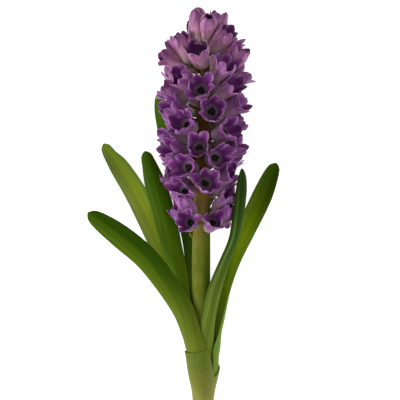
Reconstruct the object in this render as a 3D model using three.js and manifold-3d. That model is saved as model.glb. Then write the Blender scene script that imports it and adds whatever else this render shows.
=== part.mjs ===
// A cut hyacinth lying on its back: a thick green stem with a dense spike of florets, six strap
// leaves from its foot, and the pale sheath that wraps their feet.
// Millimetres, +Z up. +Y runs along the stem from the cut to the top bud, and +X is to the right
// when the flower is seen from above. Bearings round the stem are in degrees.
import * as THREE from 'three';
import { mergeVertices } from 'three/addons/utils/BufferGeometryUtils.js';
import Module from 'manifold-3d';

const wasm = await Module();
wasm.setup();

// Pose: the stem's axis starts at the cut, at this height, and climbs toward the spike
const axisHeight = 8.1;
const axisSlope = 0.1116;
const axisAside = [
  [0, 0.8], [22, 1], [34, 0.6], [45, 0], [81, -0.65], [172, 0.65], [215, 1.8], [250, 2.4],
];
const footprintMiddle = new THREE.Vector3(-12.5, 128.1, 0);

// Gaps between pieces that touch
const gap = 0.3;
const pressedFlat = 0.4;

// The bundle of sheath, leaf feet and stem, by its outer radius along the stem
const bundleRadius = [[0, 7], [9.5, 8.1], [16, 9.8], [22.5, 11], [31, 11.7], [36, 12.9]];
const bundleRows = [0, 8, 16, 23, 30, 36];
const bundleSwell = 5.8;
const sheathThickness = [0.65, 0.9];
const leafFootThickness = [0.75, 1.5];

// The free stem above the bundle
const stemRadius = [[45, 6.15], [100, 6.1], [120, 5.8], [160, 5.2], [200, 4.2], [240, 1.8]];
const stemRows = [48, 75, 100, 120, 140, 160, 180, 196];
const stemTipEnd = 242;
const stemSides = 14;

// The sheath's open edge: how far along the stem it reaches at each bearing
const sheathBearings = 24;
const rimCrowding = 0.8;
const sheathRim = [
  [-100, 33], [-60, 31], [-25, 25], [0, 22.4], [25, 19], [45, 17.2], [60, 25.8], [75, 35.2],
  [95, 34.2], [120, 33.2], [150, 33], [180, 33.6], [260, 33],
];

// Leaves: the layer and bearing of the foot with half its spread, then the free blade by its midrib
// (x, y, z), the bearing that its outer face looks to, the radius that it curls on, and its width
const leafPlans = {
  leaf_front_left: {
    layer: 0, bearing: 140, spread: 62, colour: '#4a6a1c',
    blade: [
      [-9.4, 45, 20.6, 130, 10.6, 19.5], [-14, 61, 21.4, 118, 11.5, 17.8], [-22.9, 76.5, 21.6, 108, 12, 16.8],
      [-36.8, 94.8, 21.4, 100, 13, 16.6], [-52.8, 108.6, 20.4, 96, 14, 16.2],
      [-66.6, 118.8, 18.8, 95, 12, 12.2], [-74.9, 124.7, 17.5, 95, 8, 6],
    ],
  },
  leaf_far_left: {
    layer: 0, bearing: 247, spread: 41, colour: '#6f8426',
    blade: [
      [-6.5, 52, 3.2, 250, 10, 13.4], [-17.5, 79, 3, 258, 14, 14.6], [-29.2, 107, 3, 265, 20, 15.2],
      [-42.9, 135.6, 3.4, 267, 20, 14.8], [-54.6, 154.5, 4.6, 267, 16, 13], [-60.5, 162.3, 5.5, 267, 12, 9],
      [-65.1, 170.4, 6.5, 267, 8, 5.6],
    ],
  },
  leaf_inner_left: {
    layer: 1, bearing: 185, spread: 45, colour: '#43600f',
    blade: [
      [-8.6, 46, 12, 178, 8.2, 12], [-11, 60, 12.4, 170, 9, 13], [-14, 75, 12.8, 148, 10.5, 14],
      [-17.5, 90, 11.6, 125, 12, 14.4], [-20.5, 102, 10.6, 112, 14, 14.6], [-23.3, 115.5, 10, 103, 15, 14.8],
      [-28.6, 135.6, 9.8, 96, 16, 15.2], [-31.7, 146, 10, 94, 15, 13.6], [-34.8, 156.4, 10.4, 93, 12, 9.6],
      [-37.6, 165.3, 11, 93, 8, 6],
    ],
  },
  leaf_inner_right: {
    layer: 1, bearing: 80, spread: 40, colour: '#3d5a17',
    blade: [
      [4.4, 52, 21.4, 68, 8.3, 10.6], [8.6, 72, 24.4, 57, 8.8, 11.4], [15.4, 91, 25.6, 37, 9.2, 11.4],
      [21.8, 107, 27.8, 34, 9.5, 11.6], [24.8, 123, 30.6, 42, 9.6, 11.8], [26.2, 136, 33.2, 46, 9.5, 11],
      [26.4, 146, 35, 50, 9, 7.4], [25.5, 153.5, 37, 55, 8, 1.8],
    ],
  },
  leaf_far_right: {
    layer: 0, bearing: 350, spread: 61, colour: '#4d6c14',
    blade: [
      [11.9, 46, 9.6, 344, 10.6, 16.4], [14, 57, 9.8, 338, 10.4, 15.8], [16.8, 75, 9.8, 325, 11, 15.2],
      [21.7, 94, 9.9, 312, 12.5, 15], [29.6, 112.5, 10.6, 302, 14, 14.8], [36.6, 127.4, 11.5, 296, 15, 14.6],
      [41, 137.4, 12.2, 293, 15, 14], [45.4, 148.6, 13, 290, 12, 11], [48.9, 157.4, 13.9, 290, 8, 6.2],
    ],
  },
  leaf_back: {
    layer: 1, bearing: 280, spread: 40, colour: '#35511a',
    blade: [
      [1.2, 46, 4.8, 278, 8.5, 10.5], [-0.8, 60, 4.7, 275, 10, 10.8], [-4, 81, 3.1, 272, 14, 11],
      [-7.8, 107, 1.4, 270, 30, 10.2], [-12.5, 126, 0.7, 270, 60, 9.8], [-17.7, 150, 0.65, 270, 60, 10.4],
      [-22.6, 174, 0.65, 270, 60, 11], [-25.9, 190, 0.65, 270, 60, 10.4], [-28, 198, 0.65, 270, 60, 7],
      [-29.8, 203.4, 0.65, 270, 60, 2],
    ],
  },
};
const leafTipThickness = 0.9;
const leafStep = 0.05;
const leafMarginShare = 0.55;
const leafColumns = 5;
const fewRows = 15;

// The spike: florets follow one spiral, and the one that faces straight up is counted from the lowest
const floretCount = 65;
const singleFlorets = 51;
const facingFloret = 16;
const facingBearing = 1;
const divergence = 138.05;
const facingMouth = 144.4;
const mouthRise = 1.95;
const mouthRiseGrowth = 0.0055;
const mouthReach = [
  [0, 19], [18, 20], [44, 20.5], [51, 20.5], [54, 20], [56, 17], [58, 12.5], [60, 9], [62, 6], [64, 3.5],
];
const floretLift = [[0, 4], [8, 14], [18, 22], [32, 28], [46, 38], [52, 48], [56, 62], [60, 75], [64, 86]];
const frontLevel = [[0, 0.8], [34, 0.75], [46, 0.5], [54, 0.4], [60, 0.3], [64, 0.2]];
const sideLift = [[0, 30], [14, 18], [26, 0]];
const bellyLift = [[0, 18], [34, 18], [44, 0]];
const bellyReach = [[0, -2.4], [34, -2.4], [44, 0]];
const sideTuck = 8;
// Some florets stand apart from the rule: [turned by, raised by, lifted by, shut by]
const apart = {
  0: [22, 6, 0, 0], 1: [12, 8, 0, 0], 2: [0, 3, 10, 0.2], 3: [19, 0, 12, 0.25], 5: [0, 0, 28, 0.35],
  6: [0, 0, 20, 0.3], 8: [-16, 1.6, 32, 0.55], 10: [0, 0, 20, 0.3], 11: [30, -2.6, 4, 0.1],
  13: [20, 0, -14, -0.1], 14: [0, 5.2, 14, 0], 16: [8, 0, 0, 0], 25: [-7, 0, 0, 0],
  29: [0, -4.2, 0, 0], 33: [-18, 0, 0, 0], 37: [-6, 2.6, 0, 0], 41: [-8, 0, 0, 0], 42: [0, 5, 0, 0],
  45: [4, 0, 0, 0], 46: [-20, 0, 0, 0], 50: [20, -1, 0, 0], 52: [-14, 2.8, -24, 0],
  55: [0, -3.6, -8, 0.1], 57: [28, -2, 0, 0], 58: [0, 0.6, -10, 0], 60: [8, 5.7, 12, 0.3],
  61: [-26, 1.4, -4, 0], 62: [0, -5, 0, 0.1], 63: [-4, -5, -22, 0.12], 64: [180, -2.5, 0, 0],
};
// One bud is slimmer than the rule, by this share
const slim = { 60: 0.28 };
const drawn = { turn: 4, rise: 0.6, lift: 6, size: 0.04, reach: 0.8, open: 0.08, roll: 30 };
const shortestStalk = 2.4;
const floretOpening = [
  [0, 0.82], [30, 0.78], [42, 0.69], [51, 0.56], [56, 0.5], [60, 0.4], [63, 0.28], [64, 0.05],
];
const floretSize = [[0, 0.86], [12, 1], [42, 1.04], [54, 1.1], [64, 1.16]];
const floretGirth = [[0, 1], [42, 1.05], [52, 1.05], [56, 0.98], [60, 0.9], [64, 0.7]];

// One floret, along its own axis from the foot of the tube: [distance, radius]
const tubeFoot = [0, 1.6];
const tubeBelly = [2.8, 4];
const tubeNeck = [8, 4.8];
const throat = [12.5, 5.6];
const hollowFloor = [5, 2.2];
const throatFlare = 14;
const lobeLength = 9;
const lobeEndClosed = -95;
const lobeEndOpen = 92;
const lobeThickness = 0.8;
const lobeCount = 6;
const lobeTurn = 360 / lobeCount;
const lobeShares = [0, 0.42, 0.78];
const lobeFoot = 3.4;
const lobeWidening = 1.4;
const lobeRoundness = 3;
const lobeHalfAngle = 28;
const wallAtHollow = 1;
const spineInLobe = 0.6;

// The stalk of a floret: its root is on the stem's axis, lower than the foot of the tube
const stalkRadius = 1;
const stalkSides = 3;
const rootDrop = 2;
const liftedRootDrop = 4;
const stalkBend = 0.45;
const stalkSunk = 1.2;

// Room between florets and leaves
const neighbourReach = 34;
const leafNearness = 10.5;
const wallRounds = 12;

const radians = THREE.MathUtils.degToRad;
const lerp = THREE.MathUtils.lerp;
const along = new THREE.Vector3(0, 1, axisSlope).normalize();

// A draw between -1 and 1 that is the same every time for one floret and one purpose
function wobble(index, purpose) {
  const value = Math.sin(index * 12.9898 + purpose * 78.233 + 4.1) * 43758.5453;
  return 2 * (value - Math.floor(value)) - 1;
}

// A smooth value through [place, value] knots
function through(knots, place) {
  const last = knots.length - 1;
  const at = THREE.MathUtils.clamp(place, knots[0][0], knots[last][0]);
  let i = 0;
  while (i < last - 1 && at > knots[i + 1][0]) i++;
  const slope = (a, b) => (knots[b][1] - knots[a][1]) / (knots[b][0] - knots[a][0]);
  const span = knots[i + 1][0] - knots[i][0];
  const t = (at - knots[i][0]) / span;
  const start = slope(Math.max(i - 1, 0), i + 1) * span;
  const end = slope(i, Math.min(i + 2, last)) * span;
  return knots[i][1] * (1 + t * t * (2 * t - 3)) + knots[i + 1][1] * t * t * (3 - 2 * t)
    + start * t * (t - 1) * (t - 1) + end * t * t * (t - 1);
}

// A straight-line value through [place, value] knots
function straight(knots, place) {
  const last = knots.length - 1;
  let i = 0;
  while (i < last - 1 && place > knots[i + 1][0]) i++;
  return THREE.MathUtils.mapLinear(place, knots[i][0], knots[i + 1][0], knots[i][1], knots[i + 1][1]);
}

function axisPoint(y) {
  return new THREE.Vector3(through(axisAside, y), y, axisHeight + axisSlope * y);
}

// The direction at a bearing round the stem, from +X toward +Z
function bearingVector(degrees) {
  return new THREE.Vector3(Math.cos(radians(degrees)), 0, Math.sin(radians(degrees)));
}

// Closed meshes

function closedMesh(points, faces) {
  const triangles = faces.flatMap((face) => face.slice(2).map((_, i) => [face[0], face[i + 1], face[i + 2]]));
  const volume = triangles.reduce((sum, [a, b, c]) => {
    return sum + points[a].dot(points[b].clone().cross(points[c])) / 6;
  }, 0);
  const index = triangles.flatMap(([a, b, c]) => (volume > 0 ? [a, b, c] : [a, c, b]));
  const geometry = new THREE.BufferGeometry().setFromPoints(points);
  geometry.setIndex(index);
  return geometry;
}

// A solid between two grids of the same size, each a list of rows. A wrapped grid closes on itself.
function slab(outer, inner, wrapped) {
  const rows = outer.length;
  const columns = outer[0].length;
  const points = [...outer.flat(), ...inner.flat()];
  const on = (side, row, column) => side * rows * columns + row * columns + (column % columns);
  const faces = [];
  const strips = wrapped ? columns : columns - 1;
  for (let row = 0; row < rows - 1; row++) {
    for (let column = 0; column < strips; column++) {
      const [a, b, c, d] = [[row, column], [row, column + 1], [row + 1, column + 1], [row + 1, column]];
      faces.push([on(0, ...a), on(0, ...b), on(0, ...c), on(0, ...d)]);
      faces.push([on(1, ...a), on(1, ...d), on(1, ...c)], [on(1, ...a), on(1, ...c), on(1, ...b)]);
    }
    if (!wrapped) {
      const far = columns - 1;
      faces.push([on(0, row, 0), on(0, row + 1, 0), on(1, row + 1, 0), on(1, row, 0)]);
      faces.push([on(0, row, far), on(1, row, far), on(1, row + 1, far), on(0, row + 1, far)]);
    }
  }
  for (let column = 0; column < strips; column++) {
    const top = rows - 1;
    faces.push([on(0, 0, column), on(1, 0, column), on(1, 0, column + 1), on(0, 0, column + 1)]);
    faces.push([on(0, top, column), on(0, top, column + 1), on(1, top, column + 1), on(1, top, column)]);
  }
  return closedMesh(points, faces);
}

// A solid through rings of points, closed flat at both ends
function column(rings) {
  const sides = rings[0].length;
  const faces = [];
  for (let ring = 0; ring < rings.length - 1; ring++) {
    for (let side = 0; side < sides; side++) {
      const next = (side + 1) % sides;
      const [low, high] = [ring * sides, (ring + 1) * sides];
      faces.push([low + side, low + next, high + next, high + side]);
    }
  }
  const end = (rings.length - 1) * sides;
  faces.push(rings[0].map((_, side) => sides - 1 - side), rings[0].map((_, side) => end + side));
  return closedMesh(rings.flat(), faces);
}

function solidOf(geometry) {
  const bare = geometry.clone();
  bare.deleteAttribute('normal');
  bare.deleteAttribute('uv');
  const merged = mergeVertices(bare, 1e-4);
  const vertProperties = new Float32Array(merged.attributes.position.array);
  const triVerts = new Uint32Array(merged.index.array);
  return new wasm.Manifold(new wasm.Mesh({ numProp: 3, vertProperties, triVerts }));
}

function joined(geometries) {
  const whole = geometries.map(solidOf).reduce((sum, solid) => sum.add(solid));
  const mesh = whole.getMesh();
  const geometry = new THREE.BufferGeometry();
  geometry.setAttribute('position', new THREE.BufferAttribute(mesh.vertProperties, 3));
  geometry.setIndex(new THREE.BufferAttribute(mesh.triVerts, 1));
  return geometry;
}

// The bundle's layers, from the sheath inward

function bundle(y) {
  const outer = straight(bundleRows.map((row) => [row, through(bundleRadius, row)]), y);
  const share = (outer - bundleRadius[0][1]) / bundleSwell;
  const sheath = lerp(...sheathThickness, share);
  const leaf = lerp(...leafFootThickness, share);
  const layer = (count) => outer - sheath - gap - leaf / 2 - count * (leaf + gap);
  return { outer, sheath, leaf, layers: [layer(0), layer(1)], stem: layer(1) - leaf / 2 - gap };
}

function sheathMesh() {
  const bearings = Array.from({ length: sheathBearings }, (_, i) => (i * 360) / sheathBearings - 90);
  const rowAt = (bearing, index) => {
    const rim = through(sheathRim, bearing);
    return Math.min(bundleRows[index], rim - (bundleRows.length - 1 - index) * rimCrowding);
  };
  const face = (inward) => bundleRows.map((_, index) => bearings.map((bearing) => {
    const y = rowAt(bearing, index);
    const { outer, sheath } = bundle(y);
    const point = axisPoint(y).addScaledVector(bearingVector(bearing), outer - inward * sheath);
    if (!inward && point.z < pressedFlat) point.z = 0;
    return point;
  }));
  return slab(face(0), face(1), true);
}

// Leaves

function leafRows(plan) {
  const foot = bundleRows.map((y) => {
    const { layers, leaf } = bundle(y);
    const radius = layers[plan.layer];
    const rib = axisPoint(y).addScaledVector(bearingVector(plan.bearing), radius);
    return [rib.x, y, rib.z, plan.bearing, radius, 2 * radians(plan.spread) * radius, leaf];
  });
  const free = plan.blade.map((row, index) => {
    return [...row, lerp(leafFootThickness[1], leafTipThickness, (index + 1) / plan.blade.length)];
  });
  return [...foot, ...free];
}

// A row of points across the leaf, moved off its middle surface by a share of its thickness
function leafSection(rows, place, side, columns) {
  const value = (field, at) => through(rows.map((row, index) => [index, row[field]]), at);
  const rib = (at) => new THREE.Vector3(value(0, at), value(1, at), value(2, at));
  const footEnd = bundleRows.length - 1;
  const ahead = rib(Math.min(place + leafStep, rows.length - 1));
  const run = ahead.sub(rib(Math.max(place - leafStep, 0))).normalize();
  const free = THREE.MathUtils.clamp((place - footEnd) / 2, 0, 1);
  const heading = new THREE.Vector3(0, 1, 0).lerp(run, free).normalize();
  const facing = bearingVector(value(3, place));
  facing.addScaledVector(heading, -facing.dot(heading)).normalize();
  const across = new THREE.Vector3().crossVectors(facing, heading);
  const curl = value(4, place);
  const halfAngle = value(5, place) / 2 / curl;
  return Array.from({ length: columns }, (_, index) => {
    const share = (2 * index) / (columns - 1) - 1;
    const angle = halfAngle * share;
    const thick = value(6, place) * (1 - (1 - leafMarginShare) * share ** 2);
    const outward = facing.clone().multiplyScalar(Math.cos(angle)).addScaledVector(across, Math.sin(angle));
    return rib(place).addScaledVector(facing, -curl).addScaledVector(outward, curl + side * thick / 2);
  });
}

function leafMesh(plan) {
  const rows = leafRows(plan);
  const halves = rows.length < fewRows ? [0, 0.5] : [0];
  const places = rows.flatMap((_, index) => (index < bundleRows.length - 1 || index > rows.length - 2
    ? [index] : halves.map((half) => index + half)));
  const face = (side) => places.map((place) => leafSection(rows, place, side, leafColumns).map((point) => {
    if (point.z < pressedFlat) point.z = side > 0 ? 0 : Math.max(point.z, pressedFlat);
    return point;
  }));
  return slab(face(1), face(-1), false);
}

// Florets

function floretPlan(index) {
  const rank = index - facingFloret;
  const [turned, raisedBy, lifted, shut] = apart[index] ?? [0, 0, 0, 0];
  const turn = radians(facingBearing + divergence * rank + turned + drawn.turn * wobble(index, 1));
  const rise = mouthRise * rank + mouthRiseGrowth * Math.max(rank, 0) ** 2 + raisedBy;
  const y = facingMouth + rise + drawn.rise * wobble(index, 2);
  const aside = Math.sin(turn) ** 2;
  const below = Math.max(-Math.cos(turn), 0) ** 2;
  const facing = Math.max(Math.cos(turn), 0) ** 2;
  const raised = through(floretLift, index) * (1 - facing * through(frontLevel, index))
    + aside * through(sideLift, index) + below * through(bellyLift, index);
  const lift = radians(raised + lifted + drawn.lift * wobble(index, 3));
  const size = through(floretSize, index) * (1 + drawn.size * wobble(index, 4));
  const girth = size * through(floretGirth, index) * (1 - (slim[index] ?? 0));
  const wanted = through(mouthReach, index) + below * through(bellyReach, index)
    + drawn.reach * wobble(index, 5);
  const least = through(stemRadius, y) + shortestStalk + throat[0] * size * Math.cos(lift);
  const reach = Math.max(wanted - aside * sideTuck * (index < facingFloret), least);
  const wantedOpening = through(floretOpening, index) - shut + drawn.open * wobble(index, 6);
  const open = THREE.MathUtils.clamp(wantedOpening, 0, 1);
  const roll = radians(drawn.roll * wobble(index, 7));
  const outward = new THREE.Vector3(Math.sin(turn), 0, Math.cos(turn));
  const heading = outward.clone().multiplyScalar(Math.cos(lift)).addScaledVector(along, Math.sin(lift));
  heading.normalize();
  const upright = new THREE.Vector3(Math.cos(turn), 0, -Math.sin(turn)).cross(heading).normalize();
  const sideways = new THREE.Vector3().crossVectors(heading, upright);
  const first = upright.multiplyScalar(Math.cos(roll)).addScaledVector(sideways, Math.sin(roll));
  const second = new THREE.Vector3().crossVectors(heading, first);
  const mouth = axisPoint(y).addScaledVector(outward, reach);
  const foot = mouth.clone().addScaledVector(heading, -throat[0] * size);
  const root = axisPoint(foot.y - rootDrop - liftedRootDrop * Math.sin(lift));
  const tip = mouth.clone().addScaledVector(heading, spineInLobe * lobeLength * size);
  return { size, girth, open, heading, first, second, mouth, foot, root, tip, walls: [] };
}

// Florets give way to each other: each keeps to its side of a flat wall half way to its neighbour
function wallBetween(a, b) {
  const middleMouth = a.mouth.clone().add(b.mouth).multiplyScalar(0.5);
  const middleRoot = a.root.clone().add(b.root).multiplyScalar(0.5);
  const spread = middleMouth.clone().sub(middleRoot).normalize();
  const normal = b.mouth.clone().sub(a.mouth).normalize().add(b.root.clone().sub(a.root).normalize());
  normal.addScaledVector(spread, -normal.dot(spread)).normalize();
  const offset = normal.dot(middleMouth);
  a.walls.push({ normal: normal.clone().negate(), offset: -offset });
  b.walls.push({ normal, offset });
}

function nearestOnSpine(plan, point) {
  const spine = plan.tip.clone().sub(plan.foot);
  const share = THREE.MathUtils.clamp(point.clone().sub(plan.foot).dot(spine) / spine.lengthSq(), 0, 1);
  return plan.foot.clone().addScaledVector(spine, share);
}

// A floret also stays on its side of any leaf that it comes near
function wallFromLeaf(plan, leafPoints) {
  const near = leafPoints.map((item) => ({ ...item, spot: nearestOnSpine(plan, item.point) }))
    .map((item) => ({ ...item, away: item.point.distanceTo(item.spot) }))
    .filter(({ away }) => away < leafNearness);
  if (!near.length) return;
  const nearest = near.reduce((a, b) => (a.away < b.away ? a : b));
  const normal = nearest.spot.clone().sub(nearest.point).normalize();
  normal.addScaledVector(nearest.facing, Math.sign(normal.dot(nearest.facing)));
  normal.addScaledVector(nearest.heading, -normal.dot(nearest.heading)).normalize();
  const offset = Math.max(...near.map(({ point }) => normal.dot(point))) + leafFootThickness[1] / 2 + gap / 2;
  plan.walls.push({ normal, offset });
}

// Moves a point to the floret's side of all its walls, with a margin
function keepInside(plan, point, margin) {
  for (let round = 0; round < wallRounds; round++) {
    for (const { normal, offset } of plan.walls) {
      const short = offset + margin - normal.dot(point);
      if (short > 0) point.addScaledVector(normal, short);
    }
  }
  const anchor = nearestOnSpine(plan, point);
  let share = 1;
  for (const { normal, offset } of plan.walls) {
    const clear = normal.dot(anchor) - offset - margin;
    const beyond = offset + margin - normal.dot(point);
    if (beyond > 0) share = Math.min(share, clear / (clear + beyond));
  }
  return anchor.lerp(point, Math.max(share, 0));
}

// A point of the floret by its distance along the axis, its radius and its bearing round the axis
function floretPoint(plan, [u, radius], degrees, margin) {
  const angle = radians(degrees);
  const point = plan.foot.clone().addScaledVector(plan.heading, u * plan.size)
    .addScaledVector(plan.first, Math.cos(angle) * radius * plan.girth)
    .addScaledVector(plan.second, Math.sin(angle) * radius * plan.girth);
  return keepInside(plan, point, margin);
}

// The middle of a lobe from the throat to its tip: distance along the axis, and radius
function lobeLine(open, share) {
  const start = radians(throatFlare);
  const turn = radians(lerp(lobeEndClosed, lobeEndOpen, open)) - start;
  const outward = lobeLength * (Math.cos(start) - Math.cos(start + turn * share)) / turn;
  const forward = lobeLength * (Math.sin(start + turn * share) - Math.sin(start)) / turn;
  return [throat[0] + forward, throat[1] + outward];
}

// A point of lobe k, by its share of the length and its side: -1 and 1 are the edges
function lobePoint(plan, k, share, side, margin) {
  const [u, radius] = lobeLine(plan.open, share);
  const full = (lobeFoot + lobeWidening * share) * Math.sqrt(1 - share ** lobeRoundness);
  const half = Math.min(full, Math.tan(radians(lobeHalfAngle)) * radius);
  const bearing = lobeTurn * k + THREE.MathUtils.radToDeg(Math.atan2(side * half, radius));
  return floretPoint(plan, [u, Math.hypot(radius, side * half)], bearing, margin);
}

function floretMesh(plan) {
  const close = gap / 2;
  const middle = close + lobeThickness / 2;
  const points = [];
  const keep = (point) => points.push(point) - 1;
  const keepFlat = (point) => keep(point.z < pressedFlat ? point.setZ(0) : point);
  const six = Array.from({ length: lobeCount }, (_, k) => k);
  const ring = (place, margin) => six.map((k) => keepFlat(floretPoint(plan, place, lobeTurn * k, margin)));
  const foot = ring(tubeFoot, close);
  const belly = ring(tubeBelly, close);
  const neck = ring(tubeNeck, close);
  const hollow = ring(hollowFloor, close + wallAtHollow);
  const sinus = six.map((k) => keepFlat(floretPoint(plan, throat, lobeTurn * (k + 0.5), close)));

  const lobes = six.map((k) => {
    const ribs = lobeShares.map((share) => lobePoint(plan, k, share, 0, middle));
    const edge = (side) => lobeShares.slice(1).map((share) => lobePoint(plan, k, share, side, close));
    const tip = lobePoint(plan, k, 1, 0, close);
    const left = [points[sinus[(k + 5) % 6]].clone(), ...edge(-1)];
    const right = [points[sinus[k]].clone(), ...edge(1)];
    const line = [points[neck[k]], ...ribs, tip];
    const half = ribs.map((_, i) => new THREE.Vector3()
      .crossVectors(right[i].clone().sub(left[i]), line[i + 2].clone().sub(line[i]))
      .normalize().multiplyScalar(lobeThickness / 2));
    return {
      outer: ribs.map((rib, i) => keepFlat(rib.clone().add(half[i]))),
      inner: ribs.map((rib, i) => keep(rib.clone().sub(half[i]))),
      left: [sinus[(k + 5) % 6], ...left.slice(1).map(keepFlat)],
      right: [sinus[k], ...right.slice(1).map(keepFlat)],
      tip: keepFlat(tip),
    };
  });

  const faces = [[...foot].reverse(), hollow];
  const skin = (lower, ribsOf, flip) => {
    const put = (...face) => faces.push(flip ? face.reverse() : face);
    six.forEach((k) => {
      const next = (k + 1) % lobeCount;
      const rib = ribsOf(lobes[k]);
      const { left, right, tip } = lobes[k];
      put(lower[k], lower[next], sinus[k]);
      put(lower[k], sinus[k], rib[0]);
      put(lower[next], ribsOf(lobes[next])[0], sinus[k]);
      for (let i = 0; i < rib.length - 1; i++) {
        put(left[i], rib[i], left[i + 1]);
        put(rib[i], rib[i + 1], left[i + 1]);
        put(rib[i], right[i], right[i + 1]);
        put(rib[i], right[i + 1], rib[i + 1]);
      }
      put(left[rib.length - 1], rib[rib.length - 1], tip);
      put(rib[rib.length - 1], right[rib.length - 1], tip);
    });
  };
  six.forEach((k) => {
    const next = (k + 1) % lobeCount;
    faces.push([foot[k], foot[next], belly[next], belly[k]], [belly[k], belly[next], neck[next], neck[k]]);
  });
  skin(neck, (lobe) => lobe.outer, false);
  skin(hollow, (lobe) => lobe.inner, true);
  return closedMesh(points, faces);
}

// A flower stalk from inside the stem to the foot of its floret, or sunk into it
function stalkMesh(plan, reach) {
  const end = plan.foot.clone().addScaledVector(plan.heading, reach);
  const bend = end.clone().addScaledVector(plan.heading, -stalkBend * end.distanceTo(plan.root));
  const middle = plan.root.clone().lerp(bend, 0.5).lerp(bend.clone().lerp(end, 0.5), 0.5);
  const ring = (centre, heading) => {
    const second = new THREE.Vector3().crossVectors(heading, plan.first).normalize();
    const first = new THREE.Vector3().crossVectors(second, heading);
    return Array.from({ length: stalkSides }, (_, side) => {
      const angle = (side / stalkSides) * 2 * Math.PI;
      return centre.clone().addScaledVector(first, Math.cos(angle) * stalkRadius)
        .addScaledVector(second, Math.sin(angle) * stalkRadius);
    });
  };
  const chord = end.clone().sub(plan.root).normalize();
  return column([ring(plan.root, chord), ring(middle, chord), ring(end, plan.heading)]);
}

// The stem

function stemRing(y) {
  const radius = y <= bundleRows[bundleRows.length - 1] ? bundle(y).stem : through(stemRadius, y);
  return Array.from({ length: stemSides }, (_, side) => {
    return axisPoint(y).addScaledVector(bearingVector((side / stemSides) * 360), radius);
  });
}

function stemMesh(rows) {
  return column(rows.map(stemRing));
}

// The whole plant

const plans = Array.from({ length: floretCount }, (_, index) => floretPlan(index));
plans.forEach((plan, index) => {
  plan.walls.push({ normal: new THREE.Vector3(0, 0, 1), offset: -gap / 2 });
  plans.slice(index + 1).filter((other) => other.mouth.distanceTo(plan.mouth) < neighbourReach)
    .forEach((other) => wallBetween(plan, other));
});
for (const leaf of Object.values(leafPlans)) {
  const rows = leafRows(leaf);
  const places = Array.from({ length: rows.length * 4 - 3 }, (_, step) => step / 4);
  const sections = places.map((place) => leafSection(rows, place, 0, leafColumns));
  const ribColumn = (leafColumns - 1) / 2;
  const leafPoints = places.flatMap((place, step) => {
    const facing = bearingVector(through(rows.map((row, index) => [index, row[3]]), place));
    const before = sections[Math.max(step - 1, 0)][ribColumn];
    const after = sections[Math.min(step + 1, sections.length - 1)][ribColumn];
    const heading = after.clone().sub(before).normalize();
    return sections[step].map((point) => ({ point, facing, heading }));
  });
  plans.forEach((plan) => wallFromLeaf(plan, leafPoints));
}

const single = plans.slice(0, singleFlorets);
const top = plans.slice(singleFlorets);
const stemCut = (single[singleFlorets - 1].root.y + top[0].root.y) / 2;
const cutMargin = 2 * stalkRadius + gap;
single.forEach((plan) => plan.root.copy(axisPoint(Math.min(plan.root.y, stemCut - cutMargin))));
top.forEach((plan) => plan.root.copy(axisPoint(Math.max(plan.root.y, stemCut + cutMargin))));

const plant = new THREE.Group();

function addPiece(name, geometry, colour, roughness) {
  const material = new THREE.MeshStandardMaterial({ color: colour, roughness, metalness: 0 });
  material.flatShading = true;
  const mesh = new THREE.Mesh(geometry, material);
  mesh.name = name;
  mesh.position.copy(footprintMiddle).negate();
  plant.add(mesh);
}

const stemBody = stemMesh([...bundleRows, ...stemRows, stemCut - gap / 2]);
addPiece('scape', joined([stemBody, ...single.map((plan) => stalkMesh(plan, -gap))]), '#66662a', 0.55);
addPiece('sheath', sheathMesh(), '#7f8446', 0.6);
for (const [name, plan] of Object.entries(leafPlans)) {
  addPiece(name, leafMesh(plan), plan.colour, 0.45);
}
single.forEach((plan, index) => {
  addPiece(`floret_${String(index + 1).padStart(2, '0')}`, floretMesh(plan), '#6a3272', 0.5);
});
const stemTip = stemMesh([stemCut + gap / 2, stemTipEnd]);
const buds = top.flatMap((plan) => [stalkMesh(plan, stalkSunk), floretMesh(plan)]);
addPiece('crown', joined([stemTip, ...buds]), '#8c5a86', 0.5);

export default plant;
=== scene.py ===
# A cut hyacinth lying on its back on a white table, seen straight from above.
# Petals, leaves, sheath and stem are fine meshes in the place of the plain solids of the frame.
import math

import bmesh
import bpy
from mathutils import Matrix, Vector


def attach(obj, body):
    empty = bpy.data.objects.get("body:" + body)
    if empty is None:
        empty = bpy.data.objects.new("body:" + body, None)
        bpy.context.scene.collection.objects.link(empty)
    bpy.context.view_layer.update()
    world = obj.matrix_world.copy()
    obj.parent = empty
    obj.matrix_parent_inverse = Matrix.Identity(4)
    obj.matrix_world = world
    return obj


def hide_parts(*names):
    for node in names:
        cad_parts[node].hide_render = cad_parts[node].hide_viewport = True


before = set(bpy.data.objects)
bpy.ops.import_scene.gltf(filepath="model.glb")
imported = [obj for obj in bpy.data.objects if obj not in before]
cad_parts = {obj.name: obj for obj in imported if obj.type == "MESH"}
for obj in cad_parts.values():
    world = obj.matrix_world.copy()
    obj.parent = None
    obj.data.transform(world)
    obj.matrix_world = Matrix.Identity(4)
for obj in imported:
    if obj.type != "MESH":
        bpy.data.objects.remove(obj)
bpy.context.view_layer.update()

scene = bpy.context.scene

# Everything below is in millimetres along the plant, from the cut: x right, y along the stem, z up.
# This matrix takes it to the frame, in metres from the middle of the footprint.
footprintMiddle = Vector((-12.5, 128.1, 0))
toFrame = Matrix.Scale(0.001, 4) @ Matrix.Translation(-footprintMiddle)


# small helpers for shapes

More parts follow.
